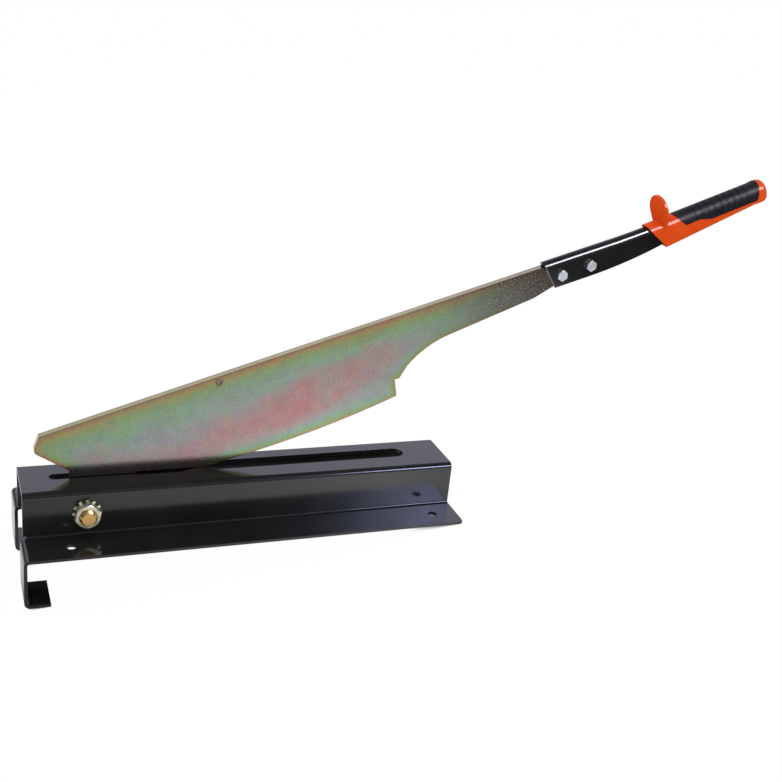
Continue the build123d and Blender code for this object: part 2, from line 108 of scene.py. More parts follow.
class SlateCutterColours(bpy.types.PropertyGroup):
    """Colours of the finishes, as sRGB hex values."""

    paint: StringProperty(
        name="Paint", description="Black enamel", default="151615")
    paint_thin: StringProperty(
        name="Thin paint", description="Enamel where it lies thinner", default="1C1D1C")
    # Painted lighter on the handle's sheared end: thinner enamel there, and a painted highlight along it
    paint_sheared_highlight: StringProperty(
        name="Sheared end", description="Enamel drawn thin on the handle's sheared end", default="9A9E94")
    zinc: StringProperty(
        name="Bright zinc", description="Clear passivated zinc", default="D6D8DE")
    zinc_blue: StringProperty(
        name="Blue zinc", description="Blue cast of clear passivated zinc", default="B4BCCB")
    zinc_aged: StringProperty(
        name="Aged zinc", description="Zinc gone dull on the pivot nut", default="F1EED5")
    zinc_green: StringProperty(
        name="Green zinc", description="Green cast of dull zinc", default="C2BFA3")
    bolt_gold: StringProperty(
        name="Bolt gold", description="Yellow passivated bolt", default="E2B472")
    bolt_olive: StringProperty(
        name="Bolt olive", description="Thicker film on the bolt", default="C6A46C")
    film_red: StringProperty(
        name="Film red", description="Clouds on the blade where its film drained", default="A67C7B")
    orange: StringProperty(
        name="Orange", description="Grip plastic", default="DA4D12")
    orange_deep: StringProperty(
        name="Deep orange", description="Grip plastic in its mould texture", default="D2460E")
    rubber: StringProperty(
        name="Rubber", description="Soft pad", default="1E1D23")
    rubber_deep: StringProperty(
        name="Deep rubber", description="Soft pad where it is darkest", default="1A191E")
    floor: StringProperty(
        name="Floor", description="Plain pale floor", default="FFFFFF")
    card: StringProperty(
        name="Card", description="Dark card", default="0A0A0C")
    card_nap: StringProperty(
        name="Card nap", description="Dark card where its nap stands up", default="121214")
    room: StringProperty(
        name="Room", description="White room", default="FFFFFF")
    room_cast: StringProperty(
        name="Room cast", description="White room as the gloss sees it", default="EAE8FF")


class SlateCutterStudio(bpy.types.PropertyGroup):
    """Camera and light."""

    camera_place: FloatVectorProperty(
        name="Camera place", description="Where the camera stands",
        default=(-0.271822, -0.950529, 0.529111), subtype="TRANSLATION", unit="LENGTH", precision=5)
    camera_azimuth: FloatProperty(
        name="Azimuth", description="Turn of the camera about the vertical",
        default=radians(-23.06), subtype="ANGLE")
    camera_elevation: FloatProperty(
        name="Elevation", description="Angle of the camera above the horizon",
        default=radians(21.985), subtype="ANGLE")
    camera_roll: FloatProperty(
        name="Roll", description="Lean of the cutter on its feet as the camera sees it",
        default=radians(6.25), subtype="ANGLE")
    camera_lens: FloatProperty(
        name="Lens", description="Focal length, in millimetres", default=53.86)
    camera_sensor: FloatProperty(
        name="Sensor", description="Width of the camera's sensor, in millimetres", default=36.0)
    window_power: FloatProperty(
        name="Window lamp", description="Softbox at the front right, seen in the gloss only, in watts",
        default=0.23)
    strip_power: FloatProperty(
        name="Strip lamp", description="Softbox along the handle, seen in the gloss only, in watts",
        default=56.0)
    reflector_power: FloatProperty(
        name="Reflector", description="White board low at the front, seen in the handle bolts only, in watts",
        default=0.5)
    ceiling_power: FloatProperty(
        name="Ceiling lamp", description="Large softbox overhead, in watts", default=15.0)
    room_level: FloatProperty(
        name="Room light", description="Even light of the white room", default=0.88)


def sizes():
    return bpy.context.scene.slate_cutter_sizes


def colours():
    return bpy.context.scene.slate_cutter_colours


def studio():
    return bpy.context.scene.slate_cutter_studio


def linear(colour):
    """sRGB hex to linear RGBA."""
    channels = [int(colour[i:i + 2], 16) / 255 for i in (0, 2, 4)]
    return [c / 12.92 if c <= 0.04045 else ((c + 0.055) / 1.055) ** 2.4 for c in channels] + [1.0]


def add_node(tree, kind, feeds=None, stops=None, **settings):
    """Adds a node: settings are its properties, feeds its inputs as values or sockets, stops its ramp."""
    node = tree.nodes.new(kind)
    for name, value in settings.items():
        setattr(node, name, value)
    for name, value in (feeds or {}).items():
        if isinstance(value, bpy.types.NodeSocket):
            tree.links.new(value, node.inputs[name])
        else:
            node.inputs[name].default_value = value
    if stops:
        ramp = node.color_ramp.elements
        while len(ramp) < len(stops):
            ramp.new(1.0)
        for stop, (place, colour) in zip(ramp, stops):
            stop.position = place
            stop.color = linear(colour) if isinstance(colour, str) else (colour, colour, colour, 1.0)
    return node


# Sockets of the Mix node when it mixes colours, and of the Map Range node when it maps vectors
MIX_SHARE, MIX_FROM, MIX_TO, MIXED = 0, 6, 7, 2
MAP_FROM_LOW, MAP_FROM_HIGH, MAP_TO_LOW, MAP_TO_HIGH = 7, 8, 9, 10
# Noise keeps mostly between these two values
NOISE_LOW, NOISE_HIGH = 0.3, 0.7
NOISE_RANGE = {"From Min": NOISE_LOW, "From Max": NOISE_HIGH}


def new_material(name, **shader_values):
    """A material with one Principled shader whose constant sockets are set directly."""
    material = bpy.data.materials.new(name)
    material.use_nodes = True
    tree = material.node_tree
    tree.nodes.clear()
    shader = add_node(tree, "ShaderNodeBsdfPrincipled", shader_values)
    add_node(tree, "ShaderNodeOutputMaterial", {"Surface": shader.outputs["BSDF"]})
    return material, tree, shader


def painted_steel():
    """Black stove enamel sprayed on folded steel: deep gloss with a faint orange peel."""
    if "black_stove_enamel" in bpy.data.materials:
        return bpy.data.materials["black_stove_enamel"]
    material, tree, shader = new_material("black_stove_enamel", **{"IOR": 1.52})
    place = add_node(tree, "ShaderNodeTexCoord").outputs["Object"]
    flow = add_node(tree, "ShaderNodeTexNoise", {"Vector": place, "Scale": 1 / (45 * MM), "Detail": 3.0})
    colour = add_node(tree, "ShaderNodeValToRGB", {"Fac": flow.outputs["Fac"]},
                      stops=[(0.35, colours().paint), (0.7, colours().paint_thin)])
    # The sheared end is painted lighter: steel shows through where the paint drew back, and a painted
    # highlight lies along it
    thin = add_node(tree, "ShaderNodeAttribute", attribute_name="sheared").outputs["Fac"]
    sheared = add_node(tree, "ShaderNodeMix", {
        MIX_SHARE: thin, MIX_FROM: colour.outputs["Color"], MIX_TO: linear(colours().paint_sheared_highlight)},
        data_type="RGBA")
    tree.links.new(sheared.outputs[MIXED], shader.inputs["Base Color"])
    gloss = add_node(tree, "ShaderNodeMapRange", {
        "Value": flow.outputs["Fac"], **NOISE_RANGE, "To Min": 0.12, "To Max": 0.17})
    tree.links.new(gloss.outputs["Result"], shader.inputs["Roughness"])
    # The peel is drawn about twice as coarse as real, so that it shows
    peel = add_node(tree, "ShaderNodeTexNoise", {"Vector": place, "Scale": 1 / (2.2 * MM), "Detail": 1.0})
    bump = add_node(tree, "ShaderNodeBump", {
        "Height": peel.outputs["Fac"], "Strength": 0.04, "Distance": 0.05 * MM})
    tree.links.new(bump.outputs["Normal"], shader.inputs["Normal"])
    return material


def plated_zinc(name, light, cast, width, detail, least_rough, most_rough):
    """Zinc plate with a passivate film on steel: metal with a cast in soft clouds of the given width."""
    if name in bpy.data.materials:
        return bpy.data.materials[name]
    material, tree, shader = new_material(name, **{"Metallic": 1.0})
    place = add_node(tree, "ShaderNodeTexCoord").outputs["Object"]
    cloud = add_node(tree, "ShaderNodeTexNoise", {"Vector": place, "Scale": 1 / width, "Detail": detail})
    colour = add_node(tree, "ShaderNodeValToRGB", {"Fac": cloud.outputs["Fac"]},
                      stops=[(0.35, cast), (0.6, light)])
    tree.links.new(colour.outputs["Color"], shader.inputs["Base Color"])
    gloss = add_node(tree, "ShaderNodeMapRange", {
        "Value": cloud.outputs["Fac"], **NOISE_RANGE, "To Min": least_rough, "To Max": most_rough})
    tree.links.new(gloss.outputs["Result"], shader.inputs["Roughness"])
    return material


def bright_zinc():
    """Fresh zinc plate, clear passivated, on turned steel: nearly white and bluish, on the handle bolts."""
    return plated_zinc(
        "clear_passivated_zinc", colours().zinc, colours().zinc_blue,
        width=5 * MM, detail=4.0, least_rough=0.2, most_rough=0.36)


def dull_zinc():
    """The same plate and passivate after handling: dull and greenish, on the pivot."""
    return plated_zinc(
        "dulled_passivated_zinc", colours().zinc_aged, colours().zinc_green,
        width=5 * MM, detail=4.0, least_rough=0.4, most_rough=0.56)


def yellow_bolt_zinc():
    """Zinc plate with a yellow chromate on a rolled bolt: gold with olive clouds."""
    return plated_zinc(
        "yellow_passivated_bolt", colours().bolt_gold, colours().bolt_olive,
        width=6 * MM, detail=3.0, least_rough=0.24, most_rough=0.38)


# Colour of the chromate film by its place, in mm: minus is into the cut edge, plus is onto the face
FILM_STOPS = [
    (-4.0, "B6AC78"), (-1.6, "A29E6C"), (-0.6, "8A8C66"), (-0.2, "8C7259"), (1.0, "8E745C"), (2.6, "97805F"),
    (5.0, "918C62"), (9.0, "84946C"), (15.0, "82997C"), (24.0, "869888"), (34.0, "8C948F"), (44.0, "919190"),
]
FILM_LOW, FILM_HIGH = FILM_STOPS[0][0], FILM_STOPS[-1][0]
# Mill scale under the film, from its pits through red and green to its grains
SPECKLE_STOPS = [(0.38, "2C2227"), (0.47, "523C46"), (0.54, "575550"), (0.64, "9C8C8E")]


def blade_zinc():
    """Zinc plate with a yellow chromate on rolled plate: the film is thick at the edges and thins to the
    middle, so its colour goes from brown over olive and green to grey, with red clouds where it drained."""
    if "yellow_chromate_blade" in bpy.data.materials:
        return bpy.data.materials["yellow_chromate_blade"]
    material, tree, shader = new_material("yellow_chromate_blade", **{"Metallic": 1.0})
    place = add_node(tree, "ShaderNodeTexCoord").outputs["Object"]
    film = add_node(tree, "ShaderNodeAttribute", attribute_name="film").outputs["Fac"]
    blush = add_node(tree, "ShaderNodeAttribute", attribute_name="blush").outputs["Fac"]
    scale_and_shade_share = add_node(tree, "ShaderNodeAttribute", attribute_name="mill_scale").outputs["Fac"]
    # Bands of the film, which wander
    drift = add_node(tree, "ShaderNodeTexNoise", {"Vector": place, "Scale": 1 / (55 * MM), "Detail": 3.0})
    drifted = add_node(tree, "ShaderNodeMapRange", {
        "Value": drift.outputs["Fac"], **NOISE_RANGE, "To Min": 0.75, "To Max": 1.3})
    wandering = add_node(tree, "ShaderNodeMath", {
        0: film, 1: drifted.outputs["Result"]}, operation="MULTIPLY")
    level = add_node(tree, "ShaderNodeMapRange", {
        "Value": wandering.outputs["Value"], "From Min": FILM_LOW, "From Max": FILM_HIGH})
    bands = add_node(tree, "ShaderNodeValToRGB", {"Fac": level.outputs["Result"]},
                     stops=[((mm - FILM_LOW) / (FILM_HIGH - FILM_LOW), colour) for mm, colour in FILM_STOPS])
    # Red clouds, torn by noise
    tear = add_node(tree, "ShaderNodeTexNoise", {"Vector": place, "Scale": 1 / (38 * MM), "Detail": 5.0})
    torn = add_node(tree, "ShaderNodeMapRange", {
        "Value": tear.outputs["Fac"], "From Min": 0.38, "From Max": 0.62, "To Min": 0.4, "To Max": 1.0})
    cloud = add_node(tree, "ShaderNodeMath", {0: blush, 1: torn.outputs["Result"]}, operation="MULTIPLY")
    red = add_node(tree, "ShaderNodeMix", {
        MIX_SHARE: cloud.outputs["Value"], MIX_FROM: bands.outputs["Color"],
        MIX_TO: linear(colours().film_red)}, data_type="RGBA")
    # Dark mill scale under the film on the tang, and painted shade in the small hole. Its grain is drawn a
    # few times as coarse as real, so that it shows
    grain = add_node(tree, "ShaderNodeTexNoise", {"Vector": place, "Scale": 1 / (1.3 * MM), "Detail": 3.0})
    speckle = add_node(tree, "ShaderNodeValToRGB", {"Fac": grain.outputs["Color"]}, stops=SPECKLE_STOPS)
    scaled = add_node(tree, "ShaderNodeMix", {
        MIX_SHARE: scale_and_shade_share, MIX_FROM: red.outputs[MIXED], MIX_TO: speckle.outputs["Color"]},
        data_type="RGBA")
    # Mottling, each colour wandering by itself
    mottle = add_node(tree, "ShaderNodeTexNoise", {"Vector": place, "Scale": 1 / (9 * MM), "Detail": 3.0})
    mottled = add_node(tree, "ShaderNodeMapRange", {
        "Vector": mottle.outputs["Color"], MAP_FROM_LOW: [NOISE_LOW] * 3, MAP_FROM_HIGH: [NOISE_HIGH] * 3,
        MAP_TO_LOW: [0.91] * 3, MAP_TO_HIGH: [1.09] * 3}, data_type="FLOAT_VECTOR")
    mixed = add_node(tree, "ShaderNodeMix", {
        MIX_SHARE: 1.0, MIX_FROM: scaled.outputs[MIXED], MIX_TO: mottled.outputs["Vector"]},
        data_type="RGBA", blend_type="MULTIPLY")
    # Crystals of the plating, drawn far coarser than real, so that they show
    crystal = add_node(tree, "ShaderNodeTexNoise", {"Vector": place, "Scale": 1 / (2.4 * MM), "Detail": 2.0})
    frosted = add_node(tree, "ShaderNodeMapRange", {
        "Value": crystal.outputs["Fac"], **NOISE_RANGE, "To Min": 0.9, "To Max": 1.1})
    lit = add_node(tree, "ShaderNodeMix", {
        MIX_SHARE: 1.0, MIX_FROM: mixed.outputs[MIXED], MIX_TO: frosted.outputs["Result"]},
        data_type="RGBA", blend_type="MULTIPLY")
    tree.links.new(lit.outputs[MIXED], shader.inputs["Base Color"])
    gloss = add_node(tree, "ShaderNodeMapRange", {
        "Value": crystal.outputs["Fac"], **NOISE_RANGE, "To Min": 0.17, "To Max": 0.23})
    tree.links.new(gloss.outputs["Result"], shader.inputs["Roughness"])
    bump = add_node(tree, "ShaderNodeBump", {
        "Height": grain.outputs["Fac"], "Strength": 0.3, "Distance": 0.06 * MM})
    tree.links.new(bump.outputs["Normal"], shader.inputs["Normal"])
    return material


def orange_plastic():
    """Injection moulded polypropylene: even colour, half gloss, with a very fine spark texture."""
    if "moulded_orange_polypropylene" in bpy.data.materials:
        return bpy.data.materials["moulded_orange_polypropylene"]
    material, tree, shader = new_material(
        "moulded_orange_polypropylene", **{"IOR": 1.49, "Specular IOR Level": 0.2})
    place = add_node(tree, "ShaderNodeTexCoord").outputs["Object"]
    flow = add_node(tree, "ShaderNodeTexNoise", {"Vector": place, "Scale": 1 / (18 * MM), "Detail": 2.0})
    colour = add_node(tree, "ShaderNodeValToRGB", {"Fac": flow.outputs["Fac"]},
                      stops=[(0.35, colours().orange_deep), (0.65, colours().orange)])
    tree.links.new(colour.outputs["Color"], shader.inputs["Base Color"])
    # The spark texture is drawn several times as coarse as real, so that it shows
    spark = add_node(tree, "ShaderNodeTexNoise", {"Vector": place, "Scale": 1 / (0.8 * MM), "Detail": 2.0})
    gloss = add_node(tree, "ShaderNodeMapRange", {
        "Value": spark.outputs["Fac"], **NOISE_RANGE, "To Min": 0.16, "To Max": 0.2})
    tree.links.new(gloss.outputs["Result"], shader.inputs["Roughness"])
    bump = add_node(tree, "ShaderNodeBump", {
        "Height": spark.outputs["Fac"], "Strength": 0.02, "Distance": 0.04 * MM})
    tree.links.new(bump.outputs["Normal"], shader.inputs["Normal"])
    return material


def soft_rubber():
    """Overmoulded thermoplastic rubber: black, dull, with a leathery mould grain."""
    if "overmoulded_black_rubber" in bpy.data.materials:
        return bpy.data.materials["overmoulded_black_rubber"]
    material, tree, shader = new_material(
        "overmoulded_black_rubber", **{"IOR": 1.5, "Specular IOR Level": 0.18})
    place = add_node(tree, "ShaderNodeTexCoord").outputs["Object"]
    # The grain is drawn about twice as coarse as real, so that it shows
    grain = add_node(tree, "ShaderNodeTexVoronoi", {"Vector": place, "Scale": 1 / (1.1 * MM)})
    flow = add_node(tree, "ShaderNodeTexNoise", {"Vector": place, "Scale": 1 / (9 * MM), "Detail": 3.0})
    colour = add_node(tree, "ShaderNodeValToRGB", {"Fac": flow.outputs["Fac"]},
                      stops=[(0.35, colours().rubber_deep), (0.7, colours().rubber)])
    tree.links.new(colour.outputs["Color"], shader.inputs["Base Color"])
    gloss = add_node(tree, "ShaderNodeMapRange", {
        "Value": flow.outputs["Fac"], **NOISE_RANGE, "To Min": 0.36, "To Max": 0.5})
    tree.links.new(gloss.outputs["Result"], shader.inputs["Roughness"])
    bump = add_node(tree, "ShaderNodeBump", {
        "Height": grain.outputs["Distance"], "Strength": 0.1, "Distance": 0.08 * MM})
    tree.links.new(bump.outputs["Normal"], shader.inputs["Normal"])
    return material


def merged_solid(node):
    """A CAD node's triangles joined into one closed mesh with whole flat faces."""
    bm = bmesh.new()
    bm.from_mesh(frame["nodes"][node].data)
    bmesh.ops.remove_doubles(bm, verts=bm.verts, dist=WELD)
    bmesh.ops.dissolve_limit(
        bm, angle_limit=FLAT_ANGLE, verts=bm.verts, edges=bm.edges, use_dissolve_boundaries=False)
    return bm


def round_edges(bm, radius, where=None):
    """Rounds every sharp outer edge, or those for whose middle where is true."""
    bm.normal_update()
    sharp = [
        e for e in bm.edges if e.is_manifold and e.is_convex and e.calc_face_angle() > SHARP_ANGLE
        and (where is None or where((e.verts[0].co + e.verts[1].co) / 2))]
    bmesh.ops.bevel(
        bm, geom=sharp, offset=radius, offset_type="OFFSET", affect="EDGES", segments=2,
        profile=0.5, material=-1, clamp_overlap=False)
    # Where roundings meet at a corner their points can fall together
    bmesh.ops.remove_doubles(bm, verts=bm.verts, dist=WELD)


def finish_piece(bm, name, material, body, node):
    """Makes the piece from its mesh, with flat faces shaded flat, and sets it on its body for the node."""
    mesh = bpy.data.meshes.new(name)
    bm.to_mesh(mesh)
    bm.free()
    mesh.materials.append(material)
    mesh.shade_smooth()
    mesh.set_sharp_from_angle(angle=SHADE_ANGLE)
    piece = bpy.data.objects.new(name, mesh)
    bpy.context.scene.collection.objects.link(piece)
    weighted = piece.modifiers.new("flat_faces", "WEIGHTED_NORMAL")
    weighted.keep_sharp = True
    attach(piece, body)
    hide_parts(node)
    return piece


def carry(piece, name, values):
    """Gives each point of a piece a value that its material reads by name."""
    attribute = piece.data.attributes.new(name, "FLOAT", "POINT")
    attribute.data.foreach_set("value", np.array(values, np.float32))


def soften(node, name, radius, material, body):
    """Stands a rounded copy of a CAD node in its place."""
    bm = merged_solid(node)
    round_edges(bm, radius)
    finish_piece(bm, name, material, body, node)


# The top plate lies within the first of the base's top, and its ends reach in by the second
PLATE_BAND = 4 * MM
PLATE_END = 10 * MM


class SLATE_OT_base(bpy.types.Operator):
    """Paints the folded base and rounds its sheet edges"""

    bl_idname = "slate.base"
    bl_label = "Folded Base"

    def execute(self, context):
        low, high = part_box("base_channel")

        def in_plate(place):
            """In the top plate, away from its ends: on the slot, whose edges are punched clean."""
            return place.z > high.z - PLATE_BAND and low.x + PLATE_END < place.x < high.x - PLATE_END

        bm = merged_solid("base_channel")
        round_edges(bm, sizes().paint_edge, lambda place: not in_plate(place))
        round_edges(bm, sizes().punched_edge, in_plate)
        finish_piece(bm, "base_folded_steel", painted_steel(), "base", "base_channel")
        return {"FINISHED"}


# A normal's share along Y from which a face looks that way, and under which it looks aside
FACING, ASIDE = 0.99, 0.1
# Lengths on the blade are in mm, along it and above the pivot. First its small hole: where it lies, what its
# edges are shorter than, how dark the shade painted in it is and how far round it reaches
HOLE_ALONG = (100, 300)
HOLE_UNDER_BACK = (2, 9)
HOLE_EDGE = 1
HOLE_SHADE, HOLE_MARGIN = 0.6, 0.5
# The film's bands are widest under the back, narrower at the nose and narrowest along the other edges. An
# edge is the back's within the first of its height, and the nose's before the second
BACK_BAND = 1
NOSE_END = -10
BACK_PACE, NOSE_PACE, EDGE_PACE = 1.0, 2.0, 3.5
# Red clouds where the film drained: middle, half length, half height, lean in degrees and strength
RED_CLOUDS = (
    (215, 22, 88, 21, 9, 1.0),
    (120, 10, 50, 15, 20, 0.85),
    (55, 12, 42, 13, 0, 0.75),
    (285, 34, 45, 16, 20, 0.7),
    (20, 32, 22, 10, 10, 0.4),
)
# A cloud has faded out where the distance from its middle, in half lengths and squared, comes to this
CLOUD_RIM = 1.35
# Where the mill scale begins to show, over what length it grows, and its share at most
MILL_SCALE_START, MILL_SCALE_RUN, MILL_SCALE_MOST = 318, 147, 0.85
# Keeps the square of an edge's length above zero
TINY = 1e-9


def paced_distance(points, starts, ends, pace):
    """Distance of each point from the nearest edge, each edge counting at its own pace."""
    run = ends - starts
    share = ((points[:, None] - starts) * run).sum(2) / np.maximum((run * run).sum(1), TINY)
    nearest = starts + np.clip(share, 0, 1)[..., None] * run
    return (np.linalg.norm(points[:, None] - nearest, axis=2) * pace).min(1)


def red_clouds(points):
    """How strongly each point lies in a red cloud."""
    blush = np.zeros(len(points))
    for x, y, half_length, half_height, lean, strength in RED_CLOUDS:
        turn = radians(lean)
        dx, dy = points[:, 0] - x, points[:, 1] - y
        across = ((dx * cos(turn) + dy * sin(turn)) / half_length) ** 2
        across += ((dy * cos(turn) - dx * sin(turn)) / half_height) ** 2
        blush = np.maximum(blush, strength * np.clip(CLOUD_RIM - across, 0, 1))
    return blush


class SLATE_OT_blade(bpy.types.Operator):
    """Rounds the blade's cut edges and plates it, with the film's colour carried by its points"""

    bl_idname = "slate.blade"
    bl_label = "Plated Blade"

    def execute(self, context):
        bm = merged_solid("blade")
        low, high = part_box("blade")
        bm.normal_update()
        outline = [
            e for e in bm.edges
            if any(f.normal.y < -FACING for f in e.link_faces)
            and any(abs(f.normal.y) < ASIDE for f in e.link_faces)]
        back = max(outline, key=lambda e: e.calc_length())
        along = (back.verts[1].co - back.verts[0].co).normalized()
        along = along if along.x > 0 else -along
        upward = Vector((-along.z, 0, along.x))

        def on_face(points):
            """Millimetres along and above the pivot, in the blade's own lie."""
            flat = np.array([p - PIVOT for p in points]) / MM
            return np.stack([flat @ np.array(along), flat @ np.array(upward)], 1)

        starts = on_face([e.verts[0].co for e in outline])
        ends = on_face([e.verts[1].co for e in outline])
        back_height = starts[outline.index(back), 1]
        # The small hole is the ring of short edges nearest under the back
        ring = [
            i for i, e in enumerate(outline)
            if e.calc_length() < HOLE_EDGE * MM and HOLE_ALONG[0] < starts[i, 0] < HOLE_ALONG[1]
            and HOLE_UNDER_BACK[0] < back_height - starts[i, 1] < HOLE_UNDER_BACK[1]]
        hole = starts[ring].mean(0)
        hole_reach = np.linalg.norm(starts[ring] - hole, axis=1).max()

        # The faces are cut into cells, whose corners carry the film's colour, and the edge along its middle
        round_edges(bm, sizes().blade_edge)
        cell = sizes().film_cell
        cuts = [(Vector((0, (low.y + high.y) / 2, 0)), Vector((0, 1, 0)))]
        spread = on_face([v.co for v in bm.verts])
        for axis, direction in ((0, along), (1, upward)):
            first, last = spread[:, axis].min() * MM, spread[:, axis].max() * MM
            cuts += [
                (PIVOT + direction * (first + cell * step), direction)
                for step in range(1, int((last - first) / cell) + 1)]
        for point, normal in cuts:
            bmesh.ops.bisect_plane(
                bm, geom=bm.verts[:] + bm.edges[:] + bm.faces[:], dist=WELD, plane_co=point, plane_no=normal)

        points = on_face([v.co for v in bm.verts])
        middle = (starts + ends) / 2
        pace = np.where(middle[:, 1] > back_height - BACK_BAND, BACK_PACE, EDGE_PACE)
        pace = np.where(middle[:, 0] < NOSE_END, NOSE_PACE, pace)
        depth = np.array([min(v.co.y - low.y, high.y - v.co.y) for v in bm.verts]) / MM
        film = np.where(
            depth < sizes().blade_edge / MM, paced_distance(points, starts, ends, pace), -depth)
        # The mill scale grows smoothly along the tang, and shade is painted inside the small hole and round
        # its rim
        grown = np.clip((points[:, 0] - MILL_SCALE_START) / MILL_SCALE_RUN, 0, 1)
        mill_scale = np.where(film < 0, 0, MILL_SCALE_MOST * grown * grown * (3 - 2 * grown))
        mill_scale[np.linalg.norm(points - hole, axis=1) < hole_reach + HOLE_MARGIN] = HOLE_SHADE

        piece = finish_piece(bm, "blade_plated_steel", blade_zinc(), "blade", "blade")
        carry(piece, "film", film)
        carry(piece, "blush", red_clouds(points))
        carry(piece, "mill_scale", mill_scale)
        return {"FINISHED"}


# A face of the channel looks to the blade where its normal's X is under the first, and its crown reaches down
# by the second
TO_BLADE = -0.7
CROWN_DEPTH = 4 * MM


class SLATE_OT_handle_channel(bpy.types.Operator):
    """Paints the pressed handle channel and rounds its edges"""

    bl_idname = "slate.handle_channel"
    bl_label = "Handle Channel"

    def execute(self, context):
        bm = merged_solid("handle_channel")
        round_edges(bm, sizes().paint_edge)
        bm.normal_update()
        # The end at the blade and the inner half of its rounding, but not the crown, are painted lighter:
        # thin paint there, and a painted highlight
        end = max((f for f in bm.faces if f.normal.x < TO_BLADE), key=lambda f: f.calc_area())
        end_and_rim = {w for v in end.verts for e in v.link_edges for w in e.verts}
        crown = max(v.co.z for v in end.verts) - CROWN_DEPTH
        sheared = [v in end_and_rim and v.co.z < crown for v in bm.verts]
        piece = finish_piece(
            bm, "handle_pressed_channel", painted_steel(), "blade", "handle_channel")
        carry(piece, "sheared", sheared)
        return {"FINISHED"}


# A thread in shares of its pitch: its depth, how much deeper its tip is turned, and the corners of one turn,
# each with whether it is sunk
THREAD_DEPTH = 0.61
TIP_DEPTH = 0.1
THREAD_TURN = ((0.06, 0), (0.44, 1), (0.56, 1), (0.94, 0))


def thread_end(bm, radius, start, end, pitch):
    """Cuts a bolt off square at start, along Y, and turns its thread from there out to end."""
    outward = 1 if end > start else -1
    bmesh.ops.bisect_plane(
        bm, geom=bm.verts[:] + bm.edges[:] + bm.faces[:], dist=WELD, plane_co=(0, start, 0),
        plane_no=(0, outward, 0), clear_outer=True)
    rim = [e for e in bm.edges if e.is_boundary]
    points = {v for e in rim for v in e.verts}
    centre = sum((v.co for v in points), Vector()) / len(points)
    length = abs(end - start)
    depth = THREAD_DEPTH * pitch
    tip = radius - depth - TIP_DEPTH * pitch
    profile = [
        ((turn + share) * pitch, radius - sunk * depth)
        for turn in range(int(length / pitch) + 1) for share, sunk in THREAD_TURN]
    # The last threads run out on the chamfer of the tip
    profile = [(out, min(reach, tip + length - out)) for out, reach in profile if out < length]
    for out, reach in [*profile, (length, tip)]:
        grown = bmesh.ops.extrude_edge_only(bm, edges=rim)["geom"]
        rim = [g for g in grown if isinstance(g, bmesh.types.BMEdge) and g.is_boundary]
        for vert in {v for e in rim for v in e.verts}:
            aside = Vector((vert.co.x - centre.x, 0, vert.co.z - centre.z)).normalized()
            vert.co = centre + aside * reach + Vector((0, outward * out, 0))
    bmesh.ops.contextual_create(bm, geom=rim)
    bmesh.ops.recalc_face_normals(bm, faces=bm.faces)


def turned_bolt(node, nut, side, pitch):
    """A bolt with rounded edges and its thread turned where it stands out of its nut, on one side in Y."""
    low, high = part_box(node)
    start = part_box(nut)[1 if side > 0 else 0].y - side * pitch
    shank = [v.co for v in frame["nodes"][node].data.vertices if (v.co.y - start) * side > 0]
    middle = sum(shank, Vector()) / len(shank)
    radius = max(Vector((co.x - middle.x, co.z - middle.z)).length for co in shank)
    bm = merged_solid(node)
    round_edges(bm, sizes().fastener_edge)
    thread_end(bm, radius, start, (high if side > 0 else low).y, pitch)
    return bm


# The lock washer's teeth begin at the first share of its width from its middle, and keep the second of its
# thickness
TOOTH_ROOT = 0.45
TOOTH_THICKNESS = 0.4


class SLATE_OT_pivot(bpy.types.Operator):
    """Finishes the pivot bolt and its thread, the nut and the washers, one of them with twisted teeth"""

    bl_idname = "slate.pivot"
    bl_label = "Pivot"

    def execute(self, context):
        edge = sizes().fastener_edge
        bolt = turned_bolt("pivot_bolt", "pivot_nut", -1, sizes().pivot_thread_pitch)
        finish_piece(bolt, "pivot_bolt_turned", yellow_bolt_zinc(), "base", "pivot_bolt")
        soften(
            "pivot_head_washer", "pivot_head_washer_plated", edge, yellow_bolt_zinc(), "base")

        # Each tooth is thinned and turned about its own radius
        washer = merged_solid("pivot_tooth_washer")
        low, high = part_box("pivot_tooth_washer")
        centre = (low + high) / 2
        root = (high.x - low.x) * TOOTH_ROOT
        step = 2 * pi / sizes().tooth_count
        for vert in washer.verts:
            place = vert.co - centre
            if Vector((place.x, place.z)).length > root:
                angle = round(atan2(place.z, place.x) / step) * step
                place.y *= TOOTH_THICKNESS
                twist = Matrix.Rotation(sizes().tooth_twist, 3, (cos(angle), 0, sin(angle)))
                vert.co = centre + twist @ place
        finish_piece(
            washer, "pivot_lock_washer_twisted", dull_zinc(), "base", "pivot_tooth_washer")
        for node in ("pivot_nut", "pivot_spacer_front", "pivot_spacer_rear", "thrust_washer_front",
                     "thrust_washer_rear"):
            soften(node, node + "_plated", edge, dull_zinc(), "base")
        return {"FINISHED"}


class SLATE_OT_handle_bolts(bpy.types.Operator):
    """Finishes the two handle bolts with their turned threads, nuts and washers"""

    bl_idname = "slate.handle_bolts"
    bl_label = "Handle Bolts"

    def execute(self, context):
        for place in ("inner", "outer"):
            bolt, nut, washer = (f"handle_{kind}_{place}" for kind in ("bolt", "nut", "washer"))
            bm = turned_bolt(bolt, nut, 1, sizes().handle_thread_pitch)
            finish_piece(bm, bolt + "_turned", bright_zinc(), "blade", bolt)
            for node in (nut, washer):
                soften(node, node + "_plated", sizes().fastener_edge, bright_zinc(), "blade")
        return {"FINISHED"}


class SLATE_OT_grip(bpy.types.Operator):
    """Finishes the moulded grip and its soft pad"""

    bl_idname = "slate.grip"
    bl_label = "Grip"

    def execute(self, context):
        frame["nodes"]["grip_body"].data.materials[0] = orange_plastic()
        soften("grip_pad", "grip_pad_moulded", sizes().pad_edge, soft_rubber(), "blade")
        return {"FINISHED"}


